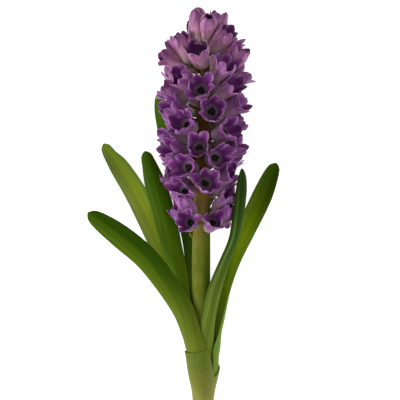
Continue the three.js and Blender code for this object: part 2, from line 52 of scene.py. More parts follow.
def through(knots, place):
    # a smooth value through (place, value) knots
    last = len(knots) - 1
    at = min(max(place, knots[0][0]), knots[last][0])
    i = 0
    while i < last - 1 and at > knots[i + 1][0]:
        i += 1
    before, after = max(i - 1, 0), min(i + 2, last)
    span = knots[i + 1][0] - knots[i][0]
    start = (knots[i + 1][1] - knots[before][1]) / (knots[i + 1][0] - knots[before][0]) * span
    end = (knots[after][1] - knots[i][1]) / (knots[after][0] - knots[i][0]) * span
    t = (at - knots[i][0]) / span
    return (knots[i][1] * (1 + t * t * (2 * t - 3)) + knots[i + 1][1] * t * t * (3 - 2 * t)
            + start * t * (t - 1) ** 2 + end * t * t * (t - 1))


def straight(knots, place):
    # a value on straight lines between (place, value) knots
    i = 0
    while i < len(knots) - 2 and place > knots[i + 1][0]:
        i += 1
    share = (place - knots[i][0]) / (knots[i + 1][0] - knots[i][0])
    return knots[i][1] + (knots[i + 1][1] - knots[i][1]) * share


def blend(a, b, share):
    return a + (b - a) * share


def ease(low, high, value):
    # 0 below low, 1 above high, smooth between
    share = min(max((value - low) / (high - low), 0), 1)
    return share * share * (3 - 2 * share)


def draw(index, purpose):
    # the same number between -1 and 1 every time, for one floret and one purpose
    value = math.sin(index * 12.9898 + purpose * 78.233 + 4.1) * 43758.5453
    return 2 * (value - math.floor(value)) - 1


def bearingVector(degrees):
    return Vector((math.cos(math.radians(degrees)), 0, math.sin(math.radians(degrees))))


# the plant's rule: the stem's axis and the layers wrapped round its foot

axis = {"height": 8.1, "slope": 0.1116,
        "aside": [(0, 0.8), (22, 1), (34, 0.6), (45, 0), (81, -0.65), (172, 0.65), (215, 1.8),
                  (250, 2.4)]}
bundle = {"radius": [(0, 7), (9.5, 8.1), (16, 9.8), (22.5, 11), (31, 11.7), (36, 12.9)],
          "rows": [0, 8, 16, 23, 30, 36], "swell": 5.8, "gap": 0.3, "aboveTable": 0.05,
          "sheath": (0.65, 0.9), "leafFoot": (0.75, 1.5)}


def axisPoint(y):
    return Vector((through(axis["aside"], y), y, axis["height"] + axis["slope"] * y))


def bundleAt(y):
    # radii and wall thicknesses round the stem at one height: sheath, two layers of leaves, stem
    outer = straight([(row, through(bundle["radius"], row)) for row in bundle["rows"]], y)
    share = (outer - bundle["radius"][0][1]) / bundle["swell"]
    sheath = blend(*bundle["sheath"], share)
    leaf = blend(*bundle["leafFoot"], share)
    first = outer - sheath - bundle["gap"] - leaf / 2
    second = first - leaf - bundle["gap"]
    return {"outer": outer, "sheath": sheath, "leaf": leaf, "layers": (first, second),
            "stem": second - leaf / 2 - bundle["gap"]}


# small helpers for meshes

def bentSlab(bm, columns, rows, place, grainName):
    # a flat slab, one face thick, whose corners are then bent into place.
    # place(across -1..1, along 0..1, side 1 or -1) gives the point and what the material reads
    made = bmesh.ops.create_grid(bm, x_segments=columns, y_segments=rows, size=1)
    low = made["verts"]
    faces = list(dict.fromkeys(face for vert in low for face in vert.link_faces))
    grown = bmesh.ops.extrude_face_region(bm, geom=faces)["geom"]
    high = [item for item in grown if isinstance(item, bmesh.types.BMVert)]
    grain = bm.verts.layers.float_vector[grainName]
    for side, verts in ((1, low), (-1, high)):
        for vert in verts:
            point, reading = place(vert.co.x, (vert.co.y + 1) / 2, side)
            vert.co = point
            vert[grain] = reading
    return low + high


def sweptTube(bm, rings, sides):
    # a round rod through rings (centre, first axis, second axis, radius), by extruding its end face
    made = bmesh.ops.create_circle(bm, cap_ends=True, radius=1, segments=sides)
    cap = made["verts"][0].link_faces[0]
    turn = bm.verts.layers.float["turn"]
    for vert in made["verts"]:
        vert[turn] = math.atan2(vert.co.y, vert.co.x)
    verts = list(made["verts"])
    for number, (centre, first, second, radius) in enumerate(rings):
        if number:
            grown = bmesh.ops.extrude_face_region(bm, geom=[cap])["geom"]
            verts = [item for item in grown if isinstance(item, bmesh.types.BMVert)]
            cap = next(item for item in grown if isinstance(item, bmesh.types.BMFace))
        for vert in verts:
            vert.co = centre + (first * math.cos(vert[turn]) + second * math.sin(vert[turn])) * radius


def finishPiece(name, bm, materials):
    bmesh.ops.recalc_face_normals(bm, faces=bm.faces[:])
    bmesh.ops.transform(bm, matrix=toFrame, verts=bm.verts[:])
    mesh = bpy.data.meshes.new(name)
    bm.to_mesh(mesh)
    bm.free()
    for material in materials:
        mesh.materials.append(material)
    mesh.shade_smooth()
    piece = bpy.data.objects.new(name, mesh)
    scene.collection.objects.link(piece)
    rounding = piece.modifiers.new("rounding", "SUBSURF")
    rounding.levels = rounding.render_levels = 1
    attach(piece, "root")
    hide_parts(name.replace("Fine", ""))


# small helpers for materials

def hexColour(text):
    # an sRGB hex value as linear colour
    parts = [int(text[i:i + 2], 16) / 255 for i in (1, 3, 5)]
    return [part / 12.92 if part <= 0.04045 else ((part + 0.055) / 1.055) ** 2.4 for part in parts] + [1]


def addNode(tree, kind, inputs=None, stops=None, **settings):
    # one node with its settings; an input is a value, a socket, or a node whose result is meant
    node = tree.nodes.new("ShaderNode" + kind)
    for key, value in settings.items():
        setattr(node, key, value)
    for key, value in (inputs or {}).items():
        if isinstance(value, bpy.types.Node):
            # a Mix node gives its colour third
            value = value.outputs[2 if value.bl_idname == "ShaderNodeMix" else 0]
        if isinstance(value, bpy.types.NodeSocket):
            tree.links.new(value, node.inputs[key])
        else:
            node.inputs[key].default_value = value
    if stops:
        elements = node.color_ramp.elements
        while len(elements) < len(stops):
            elements.new(0.5)
        for element, (place, colour) in zip(elements, stops):
            element.position = place
            element.color = hexColour(colour)
    return node


smoothly = {"interpolation_type": "SMOOTHSTEP"}     # for a Map Range that eases in and out


def newMaterial(name):
    material = bpy.data.materials.new(name)
    material.use_nodes = True
    material.node_tree.nodes.clear()
    return material, material.node_tree


def finishTissue(tree, tissue, colour, pattern, relief):
    # what every tissue ends with: a pattern that darkens and lightens its colour, relief and gloss
    low, high = tissue["patternRange"]
    darkest, lightest = tissue["shade"]
    value = addNode(tree, "MapRange", {0: pattern, 1: low, 2: high, 3: darkest, 4: lightest})
    toned = addNode(tree, "HueSaturation", {"Value": value, "Color": colour})
    bump = addNode(tree, "Bump", {"Strength": tissue["bumpStrength"], "Distance": tissue["bumpMm"] / 1000,
                                  "Height": relief})
    shader = addNode(tree, "BsdfPrincipled", {"Base Color": toned, "Normal": bump, **tissue["shader"]})
    addNode(tree, "OutputMaterial", {0: shader})


# petals

petalTissue = {
    # thin waxy tissue: soft satin, light passes into it a little
    "shader": {"Roughness": 0.5, "IOR": 1.42, "Specular IOR Level": 0.2, "Subsurface Weight": 0.12,
               "Subsurface Scale": 0.0012, "Sheen Weight": 0.05, "Sheen Roughness": 0.4},
    # patches of 3.5 mm, and streaks that are narrow across a lobe and long along it
    "mottleMm": 3.5, "streakRun": (9, 1.4, 3), "streakScale": 1.6,
    "patternRange": (0.6, 1.4), "shade": (0.62, 1.36), "bumpMm": 0.12, "bumpStrength": 0.35,
    # the pale rim of a lobe comes and goes, and its rib is darker
    "rimFrom": 0.25, "rimShare": (0.28, 0.9), "ribTo": 0.28, "ribShare": 0.55,
}
# each ramp runs from the foot of the tube over the throat at 0.5 to the tip of a lobe
# the grey-mauve inside stops in the bowl below the throat are the throat's own pale tone, partly painted
# light lifted against the shade deep in the tube
petalTones = {
    "petalOpenFlower": {
        "outside": [(0, "#8f8f6a"), (0.14, "#9a858c"), (0.36, "#946c8c"), (0.52, "#885488"),
                    (0.8, "#905694"), (1, "#7b3a82")],
        "inside": [(0, "#766870"), (0.13, "#7e6276"), (0.28, "#763e74"), (0.43, "#702c74"),
                   (0.74, "#6c2470"), (1, "#90488e")],
        "rim": "#a274a6", "rib": "#5a2566",
    },
    "petalHalfOpenFlower": {
        "outside": [(0, "#8e906c"), (0.14, "#a0878c"), (0.36, "#9e748e"), (0.52, "#945e8a"),
                    (0.8, "#975a90"), (1, "#7d4285")],
        "inside": [(0, "#6e5666"), (0.1, "#7c5474"), (0.24, "#7a3e78"), (0.42, "#74307a"),
                   (0.74, "#6a2470"), (1, "#8c4a8a")],
        "rim": "#a87caa", "rib": "#642f70",
    },
    "petalBud": {
        "outside": [(0, "#8c9069"), (0.14, "#a88d8c"), (0.36, "#ae8094"), (0.55, "#a86e92"),
                    (0.8, "#9c5c8e"), (1, "#6a2f68")],
        "inside": [(0, "#7c6072"), (0.14, "#7c507a"), (0.36, "#7a3c7a"), (0.5, "#782e78"),
                   (0.74, "#742a74"), (1, "#7c3a7c")],
        "rim": "#a680a2", "rib": "#6d3f72",
    },
}


def makePetalMaterial(name, tone):
    material, tree = newMaterial(name)
    tissue = petalTissue
    # the "petal" attribute: x 0 at a lobe's rib, 1 at its edge; y 0 foot, 1 throat, 2 tip;
    # z 0 outside, 1 inside
    petal = addNode(tree, "Attribute", attribute_name="petal").outputs["Vector"]
    rib, along, depth = addNode(tree, "SeparateXYZ", {0: petal}).outputs
    share = addNode(tree, "Math", {0: along, 1: 0.5}, operation="MULTIPLY")
    outside = addNode(tree, "ValToRGB", {0: share}, stops=tone["outside"])
    inside = addNode(tree, "ValToRGB", {0: share}, stops=tone["inside"])
    faces = addNode(tree, "Mix", {0: depth, 6: outside, 7: inside}, data_type="RGBA")
    # the thin edge of each lobe is paler in patches
    onLobe = addNode(tree, "MapRange", {0: along, 1: 0.75, 2: 1.25})
    edge = addNode(tree, "MapRange", {0: rib, 1: tissue["rimFrom"], 2: 1}, **smoothly)
    edgeShare = addNode(tree, "Math", {0: edge, 1: onLobe}, operation="MULTIPLY")
    place = addNode(tree, "TexCoord").outputs["Object"]
    mottle = addNode(tree, "TexNoise", {"Vector": place, "Detail": 2, "Scale": 1000 / tissue["mottleMm"]})
    least, most = tissue["rimShare"]
    patches = addNode(tree, "MapRange", {0: mottle, 1: 0.38, 2: 0.62, 3: least, 4: most})
    rimShare = addNode(tree, "Math", {0: edgeShare, 1: patches}, operation="MULTIPLY")
    paled = addNode(tree, "Mix", {0: rimShare, 6: faces, 7: hexColour(tone["rim"])}, data_type="RGBA")
    # the rib of each lobe is darker, and runs down the tube
    middle = addNode(tree, "MapRange", {0: rib, 1: tissue["ribTo"], 2: 0, 4: tissue["ribShare"]}, **smoothly)
    upTube = addNode(tree, "MapRange", {0: along, 1: 0.3, 2: 1})
    ribShare = addNode(tree, "Math", {0: middle, 1: upTube}, operation="MULTIPLY")
    ribbed = addNode(tree, "Mix", {0: ribShare, 6: paled, 7: hexColour(tone["rib"])}, data_type="RGBA")
    # fine streaks along the petal and a slow mottle over it
    lengthwise = addNode(tree, "VectorMath", {0: petal, 1: tissue["streakRun"]}, operation="MULTIPLY")
    streaks = addNode(tree, "TexNoise", {"Vector": lengthwise, "Scale": tissue["streakScale"], "Detail": 3})
    both = addNode(tree, "Math", {0: streaks, 1: mottle}, operation="ADD")
    finishTissue(tree, tissue, ribbed, both, streaks)
    return material


def makeAntherMaterial():
    # pollen sacs, dark and dry, with a matt skin and grains of a quarter millimetre
    material, tree = newMaterial("darkAnther")
    place = addNode(tree, "TexCoord").outputs["Object"]
    grains = addNode(tree, "TexNoise", {"Vector": place, "Scale": 4000})
    colour = addNode(tree, "ValToRGB", {0: grains}, stops=[(0.3, "#040203"), (0.7, "#120b10")])
    shader = addNode(tree, "BsdfPrincipled", {"Base Color": colour, "Roughness": 0.7})
    addNode(tree, "OutputMaterial", {0: shader})
    return material


# green parts

leafTissue = {
    # thick smooth leaf with a wax bloom: satin, with painted shade on the side that looks down
    "shader": {"Roughness": 0.55, "IOR": 1.45, "Specular IOR Level": 0.04},
    "paintedUnderShade": "#486416", "underFrom": 0.05, "underFull": -0.4, "underShare": 0.75,
    # streaks 2.2 mm wide that run the length, and veins set wider apart than real ones, to show
    "streakMm": 2.2, "streakRun": 0.012, "wander": 0.5,
    "patternRange": (0.3, 0.7), "shade": (0.78, 1.22),
    "veinMm": 1.7, "veinShare": 0.35, "bumpMm": 0.22, "bumpStrength": 0.4,
    "footFull": 20, "tipFrom": 0.62, "tipFull": 0.95,
}


def makeLeafMaterial(name, tone):
    material, tree = newMaterial(name)
    tissue = leafTissue
    # the "leaf" attribute: x millimetres across, y millimetres along, z share across -1..1
    leaf = addNode(tree, "Attribute", attribute_name="leaf").outputs["Vector"]
    acrossMm, alongMm, share = addNode(tree, "SeparateXYZ", {0: leaf}).outputs
    # strips of colour along the leaf, which wander a little with the streaks: partly the leaf's own tone and
    # partly painted light and shade, paler halves and margins where the lights fall and darker ones turned
    # away
    run = (1 / tissue["streakMm"], tissue["streakRun"], 0)
    stretched = addNode(tree, "VectorMath", {0: leaf, 1: run}, operation="MULTIPLY")
    streaks = addNode(tree, "TexNoise", {"Vector": stretched, "Scale": 1, "Detail": 4, "Roughness": 0.6})
    wander = tissue["wander"]
    shifted = addNode(tree, "Math", {0: streaks, 1: wander, 2: share}, operation="MULTIPLY_ADD")
    half = addNode(tree, "MapRange", {0: shifted, 1: wander / 2 - 1, 2: wander / 2 + 1})
    stripsWithPaintedLight = addNode(tree, "ValToRGB", {0: half}, stops=tone["across"])
    # the foot and the tip have shades of their own; the foot colours are partly painted light, lifted where
    # the foot lies in the shade of the stem and other leaves
    low = addNode(tree, "MapRange", {0: alongMm, 1: tone["footTop"], 2: tissue["footFull"]}, **smoothly)
    footed = addNode(tree, "Mix", {0: low, 6: stripsWithPaintedLight, 7: hexColour(tone["foot"])}, data_type="RGBA")
    high = addNode(tree, "MapRange", {0: alongMm, 1: tissue["tipFrom"] * tone["length"],
                                      2: tissue["tipFull"] * tone["length"], 4: tone["tipShare"]},
                   **smoothly)
    tipped = addNode(tree, "Mix", {0: high, 6: footed, 7: hexColour(tone["tip"])}, data_type="RGBA")
    # painted shade: the side that looks down, toward the table and away from the lights, is darker
    normal = addNode(tree, "TexCoord").outputs["Normal"]
    upward = addNode(tree, "SeparateXYZ", {0: normal}).outputs[2]
    underShadeMask = addNode(tree, "MapRange", {0: upward, 1: tissue["underFrom"], 2: tissue["underFull"],
                                       4: tissue["underShare"]}, **smoothly)
    underShaded = addNode(tree, "Mix", {0: underShadeMask, 6: tipped, 7: hexColour(tissue["paintedUnderShade"])},
                     data_type="RGBA")
    # parallel veins
    turn = addNode(tree, "Math", {0: acrossMm, 1: 2 * math.pi / tissue["veinMm"]}, operation="MULTIPLY")
    veins = addNode(tree, "Math", {0: turn}, operation="SINE")
    relief = addNode(tree, "Math", {0: veins, 1: tissue["veinShare"], 2: streaks}, operation="MULTIPLY_ADD")
    finishTissue(tree, tissue, underShaded, streaks, relief)
    return material


# places in millimetres along the plant: "top" is where the ramp "along" ends
stalkTissue = {
    # juicy smooth stem: green below, browner and redder among the florets; the stops at 0.52 and 0.58 are
    # painted light, lifted where the lowest florets shade the stem
    "along": [(0, "#7b8140"), (0.16, "#6c7728"), (0.4, "#5d6615"), (0.45, "#666722"), (0.52, "#8f7e40"),
              (0.58, "#8a6a38"), (0.67, "#5c4010"), (0.8, "#543a16"), (1, "#6a5a3a")],
    "top": 240, "flank": "#4c6a02", "flankAcross": (1, 5.2), "flankShare": 0.85, "flankFade": (105, 150),
    "shader": {"Roughness": 0.45, "IOR": 1.42, "Specular IOR Level": 0.08, "Subsurface Weight": 0.08,
               "Subsurface Scale": 0.002},
    "streakMm": 1.4, "streakLength": 30,
    "patternRange": (0.3, 0.7), "shade": (0.85, 1.15), "bumpMm": 0.15, "bumpStrength": 0.35,
}
sheathTissue = {
    # thin papery leaf base, fibrous, tan toward the cut; what isn't given here is as in the stem
    **stalkTissue,
    "along": [(0, "#82803c"), (0.35, "#6a702a"), (0.7, "#5c681f"), (1, "#56641b")],
    "top": 36, "flank": "#949c58", "flankAcross": (0, 10), "flankShare": 0.42, "flankFade": (40, 60),
    "shader": {**stalkTissue["shader"], "Roughness": 0.55}, "streakMm": 0.9,
}


def makeStalkMaterial(name, tissue):
    material, tree = newMaterial(name)
    place = addNode(tree, "TexCoord").outputs["Object"]
    plant = addNode(tree, "VectorMath", {0: place, 1: (1000, 1000, 1000), 2: footprintMiddle},
                    operation="MULTIPLY_ADD")
    aside, upward, _ = addNode(tree, "SeparateXYZ", {0: plant}).outputs
    share = addNode(tree, "MapRange", {0: upward, 1: 0, 2: tissue["top"]})
    colour = addNode(tree, "ValToRGB", {0: share}, stops=tissue["along"])
    # the flank toward +X has a shade of its own, which fades out higher up
    first, last = tissue["flankAcross"]
    toFlank = addNode(tree, "MapRange", {0: aside, 1: first, 2: last, 4: tissue["flankShare"]}, **smoothly)
    first, last = tissue["flankFade"]
    fade = addNode(tree, "MapRange", {0: upward, 1: first, 2: last, 3: 1, 4: 0}, **smoothly)
    flank = addNode(tree, "Math", {0: toFlank, 1: fade}, operation="MULTIPLY")
    sided = addNode(tree, "Mix", {0: flank, 6: colour, 7: hexColour(tissue["flank"])}, data_type="RGBA")
    # streaks along it
    fine = 1000 / tissue["streakMm"]
    run = (fine, fine / tissue["streakLength"], fine)
    stretched = addNode(tree, "VectorMath", {0: place, 1: run}, operation="MULTIPLY")
    streaks = addNode(tree, "TexNoise", {"Vector": stretched, "Scale": 1, "Detail": 3})
    finishTissue(tree, tissue, sided, streaks, streaks)
    return material


def makeCutMaterial():
    # fresh cut across the stem: wet pale flesh with darker strands about a millimetre apart
    material, tree = newMaterial("cutFlesh")
    place = addNode(tree, "TexCoord").outputs["Object"]
    cells = addNode(tree, "TexVoronoi", {"Vector": place, "Scale": 900})
    colour = addNode(tree, "ValToRGB", {0: cells}, stops=[(0.1, "#a9b57a"), (0.6, "#c9cf9f")])
    shader = addNode(tree, "BsdfPrincipled", {"Base Color": colour, "Roughness": 0.3})
    addNode(tree, "OutputMaterial", {0: shader})
    return material


petalMaterials = {name: makePetalMaterial(name, tone) for name, tone in petalTones.items()}
antherMaterial = makeAntherMaterial()
stalkMaterial = makeStalkMaterial("flowerStem", stalkTissue)
sheathMaterial = makeStalkMaterial("paperySheath", sheathTissue)
cutMaterial = makeCutMaterial()
print("materials made")


# leaves

leafShape = {
    "columns": 14, "rowsEach": 5, "thickness": (1.5, 0.9), "marginShare": 0.5, "step": 0.05,
    "keel": 0.55, "backKeel": 0.35, "keelSharpness": 1.6, "keelSunk": 0.35,
    "tipRoundness": 6, "tipWidth": 0.1, "tipRows": 1.5, "margin": 0.7, "leastThickness": 0.5,
}
# a blade's rows: rib x, y, z, bearing of the outer face, curl radius, width
# the "across" strips are partly painted light and shade: halves and rolled margins turned to the lights are
# paler, those turned away are darker
leafPlans = {
    # a "foot" colour is partly painted light, paler where that foot lies in shade
    "leaf_front_left": {
        "layer": 0, "bearing": 140, "spread": 62, "length": 165,
        "across": [(0, "#345004"), (0.38, "#304e02"), (0.56, "#445a02"), (1, "#4a5f06")],
        "foot": "#626c1c", "footTop": 100, "tip": "#2c4c04", "tipShare": 0.5,
        "blade": [
            (-9.4, 45, 20.6, 130, 10.6, 19.5), (-14, 61, 21.4, 118, 11.5, 17.8),
            (-22.9, 76.5, 21.6, 108, 12, 16.8), (-36.8, 94.8, 21.4, 100, 13, 16.6),
            (-52.8, 108.6, 20.4, 96, 14, 16.2), (-66.6, 118.8, 18.8, 95, 12, 12.2),
            (-74.9, 124.7, 17.5, 95, 8, 6)]},
    "leaf_far_left": {
        "layer": 0, "bearing": 247, "spread": 41, "length": 185,
        "across": [(0, "#94a45e"), (0.25, "#a2b044"), (0.5, "#9cac2c"), (0.75, "#869a22"), (1, "#667e32")],
        "foot": "#84ac14", "footTop": 155, "tip": "#44601a", "tipShare": 0.6,
        "blade": [
            (-6.5, 52, 3.2, 250, 10, 13.4), (-17.5, 79, 3, 258, 14, 14.6),
            (-29.2, 107, 3, 265, 20, 15.2), (-42.9, 135.6, 3.4, 267, 20, 14.8),
            (-54.6, 154.5, 4.6, 267, 16, 13), (-60.5, 162.3, 5.5, 267, 12, 9),
            (-65.1, 170.4, 6.5, 267, 8, 5.6)]},
    "leaf_inner_left": {
        "layer": 1, "bearing": 185, "spread": 45, "length": 170,
        "across": [(0, "#2c4a00"), (0.35, "#3e5c00"), (0.7, "#425f02"), (0.86, "#46600c"), (1, "#566e2a")],
        "foot": "#769418", "footTop": 125, "tip": "#264402", "tipShare": 0.6,
        "blade": [
            (-8.6, 46, 12, 178, 8.2, 12), (-11, 60, 12.4, 170, 9, 13), (-14, 75, 12.8, 148, 10.5, 14),
            (-17.5, 90, 11.6, 125, 12, 14.4), (-20.5, 102, 10.6, 112, 14, 14.6),
            (-23.3, 115.5, 10, 103, 15, 14.8), (-28.6, 135.6, 9.8, 96, 16, 15.2),
            (-31.7, 146, 10, 94, 15, 13.6), (-34.8, 156.4, 10.4, 93, 12, 9.6),
            (-37.6, 165.3, 11, 93, 8, 6)]},
    "leaf_inner_right": {
        "layer": 1, "bearing": 80, "spread": 40, "length": 160,
        "across": [(0, "#70864e"), (0.24, "#4e6a2c"), (0.48, "#2e4a08"), (0.66, "#38560e"),
                   (0.75, "#627b40"), (0.83, "#5c763c"), (0.89, "#2c4a08"), (1, "#223e04")],
        "foot": "#6a7a26", "footTop": 120, "tip": "#1a3000", "tipShare": 0.85,
        "blade": [
            (4.4, 52, 21.4, 68, 8.3, 10.6), (8.6, 72, 24.4, 57, 8.8, 11.4),
            (15.4, 91, 25.6, 37, 9.2, 11.4), (21.8, 107, 27.8, 34, 9.5, 11.6),
            (24.8, 123, 30.6, 42, 9.6, 11.8), (26.2, 136, 33.2, 46, 9.5, 11),
            (26.4, 146, 35, 50, 9, 7.4), (25.5, 153.5, 37, 55, 8, 1.8)]},
    "leaf_far_right": {
        "layer": 0, "bearing": 350, "spread": 61, "length": 168,
        "across": [(0, "#7c9a26"), (0.3, "#7c9a12"), (0.55, "#7a940a"), (0.8, "#64800c"), (1, "#6e8a34")],
        "foot": "#66822e", "footTop": 65, "tip": "#264404", "tipShare": 0.85,
        "blade": [
            (11.9, 46, 9.6, 344, 10.6, 16.4), (14, 57, 9.8, 338, 10.4, 15.8),
            (16.8, 75, 9.8, 325, 11, 15.2), (21.7, 94, 9.9, 312, 12.5, 15),
            (29.6, 112.5, 10.6, 302, 14, 14.8), (36.6, 127.4, 11.5, 296, 15, 14.6),
            (41, 137.4, 12.2, 293, 15, 14), (45.4, 148.6, 13, 290, 12, 11),
            (48.9, 157.4, 13.9, 290, 8, 6.2)]},
    "leaf_back": {
        "layer": 1, "bearing": 280, "spread": 40, "length": 205,
        "across": [(0, "#30520a"), (0.5, "#3f630e"), (1, "#54761c")],
        "foot": "#a4c048", "footTop": 115, "tip": "#52781c", "tipShare": 0.8,
        "blade": [
            (1.2, 46, 4.8, 278, 8.5, 10.5), (-0.8, 60, 4.7, 275, 10, 10.8), (-4, 81, 3.1, 272, 14, 11),
            (-7.8, 107, 1.4, 270, 30, 10.2), (-12.5, 126, 0.7, 270, 60, 9.8),
            (-17.7, 150, 0.65, 270, 60, 10.4), (-22.6, 174, 0.65, 270, 60, 11),
            (-25.9, 190, 0.65, 270, 60, 10.4), (-28, 198, 0.65, 270, 60, 7),
            (-29.8, 203.4, 0.65, 270, 60, 2)]},
}


def leafRows(plan):
    # the foot's rows follow the bundle, and the blade's own rows come after them
    rows = []
    for y in bundle["rows"]:
        ring = bundleAt(y)
        radius = ring["layers"][plan["layer"]]
        rib = axisPoint(y) + bearingVector(plan["bearing"]) * radius
        width = 2 * math.radians(plan["spread"]) * radius
        rows.append((rib.x, y, rib.z, plan["bearing"], radius, width, ring["leaf"]))
    for number, row in enumerate(plan["blade"]):
        rows.append((*row, blend(*leafShape["thickness"], (number + 1) / len(plan["blade"]))))
    return rows


def leafValue(rows, field, place):
    # place counts rows from the foot, and near rows are enough for a smooth value
    low = max(int(place) - 2, 0)
    near = [(low + i, row[field]) for i, row in enumerate(rows[low:int(place) + 4])]
    return through(near, place)


def leafFrame(rows, place):
    # the rib, the outer face's direction, the direction across and the values at one place
    last = len(rows) - 1

    def rib(at):
        at = min(max(at, 0), last)
        return Vector([leafValue(rows, field, at) for field in (0, 1, 2)])

    run = (rib(place + leafShape["step"]) - rib(place - leafShape["step"])).normalized()
    free = min(max((place - len(bundle["rows"]) + 1) / 2, 0), 1)
    heading = Vector((0, 1, 0)).lerp(run, free).normalized()
    facing = bearingVector(leafValue(rows, 3, place))
    facing = (facing - heading * facing.dot(heading)).normalized()
    curl, width, thick = (leafValue(rows, field, place) for field in (4, 5, 6))
    return {"rib": rib(place), "facing": facing, "across": facing.cross(heading), "heading": heading,
            "curl": curl, "width": width, "thick": thick}


def leafPoint(spot, share, side, keel=0):
    # share runs -1 to 1 across the leaf; side 1 is the outer skin and -1 the inner one
    angle = spot["width"] / 2 / spot["curl"] * share
    thick = spot["thick"] * (1 - (1 - leafShape["marginShare"]) * share ** 2)
    outward = spot["facing"] * math.cos(angle) + spot["across"] * math.sin(angle)
    fold = keel * ((1 - abs(share)) ** leafShape["keelSharpness"] - leafShape["keelSunk"])
    reach = spot["curl"] + fold + side * thick / 2
    return spot["rib"] - spot["facing"] * spot["curl"] + outward * reach


def makeLeaf(name, plan):
    rows = leafRows(plan)
    last = len(rows) - 1
    footRows = len(bundle["rows"]) - 1
    isBack = name == "leaf_back"
    lengths = [0]
    for before, after in zip(rows, rows[1:]):
        lengths.append(lengths[-1] + (Vector(after[:3]) - Vector(before[:3])).length)
    spots = {}

    def place(across, along, side):
        at = along * last
        key = round(at, 4)
        if key not in spots:
            spots[key] = leafFrame(rows, at)
            past = max(at - last + 1, 0)
            spots[key]["width"] += leafShape["margin"] * ease(footRows, footRows + 3, at)
            spots[key]["width"] *= math.sqrt(max(1 - past ** leafShape["tipRoundness"],
                                                 leafShape["tipWidth"] ** 2))
        spot = spots[key]
        # past the sheath the leaf is keeled along its middle, and its end is rounded
        free = ease(footRows, footRows + 2, at) * (1 - ease(last - leafShape["tipRows"], last, at))
        keel = leafShape["keel"] * free * (leafShape["backKeel"] if isBack else 1)
        point = leafPoint(spot, across, side, keel)
        if isBack or at <= footRows:
            lowest = bundle["aboveTable"] + (leafShape["leastThickness"] if side < 0 else 0)
            point.z = max(point.z, lowest)
        mmAlong = straight(list(enumerate(lengths)), at)
        return point, Vector((across * spot["width"] / 2, mmAlong, across))

    bm = bmesh.new()
    bm.verts.layers.float_vector.new("leaf")
    bentSlab(bm, leafShape["columns"], leafShape["rowsEach"] * last, place, "leaf")
    bladeName = "blade" + "".join(part.capitalize() for part in name.split("_")[1:])
    finishPiece(name + "Fine", bm, [makeLeafMaterial(bladeName, plan)])


for leafName, leafPlan in leafPlans.items():
    makeLeaf(leafName, leafPlan)
print("leaves made")


# sheath round the feet of the leaves, with its slanting open edge

sheathShape = {
    "columns": 48, "rows": 14, "crowding": 0.8,
    "rim": [(-100, 33), (-60, 31), (-25, 25), (0, 22.4), (25, 19), (45, 17.2), (60, 25.8), (75, 35.2),
            (95, 34.2), (120, 33.2), (150, 33), (180, 33.6), (260, 33)],
}


def makeSheath():
    # one slab bent right round the stem, whose upper edge follows the rim
    count = len(bundle["rows"])

    def place(across, along, side):
        bearing = -90 + 180 * (across + 1)
        row = along * (count - 1)
        rim = through(sheathShape["rim"], bearing)
        y = min(straight(list(enumerate(bundle["rows"])), row),
                rim - (count - 1 - row) * sheathShape["crowding"])
        ring = bundleAt(y)
        outer = ring["outer"] - (0 if side > 0 else ring["sheath"])
        point = axisPoint(y) + bearingVector(bearing) * outer
        point.z = max(point.z, bundle["aboveTable"])
        return point, Vector((bearing, y, 0))

    bm = bmesh.new()
    bm.verts.layers.float_vector.new("leaf")
    bentSlab(bm, sheathShape["columns"], sheathShape["rows"], place, "leaf")
    # the slab's two side walls meet where it closes round the stem
    grain = bm.verts.layers.float_vector["leaf"]
    seam = [face for face in bm.faces
            if all(abs(abs(vert[grain].x - 90) - 180) < 0.01 for vert in face.verts)]
    bmesh.ops.delete(bm, geom=seam, context="FACES_ONLY")
    bmesh.ops.remove_doubles(bm, verts=bm.verts[:], dist=0.01)
    finishPiece("sheathFine", bm, [sheathMaterial])


makeSheath()
print("sheath made")


# florets: the same rule as the solids, with finer lobes

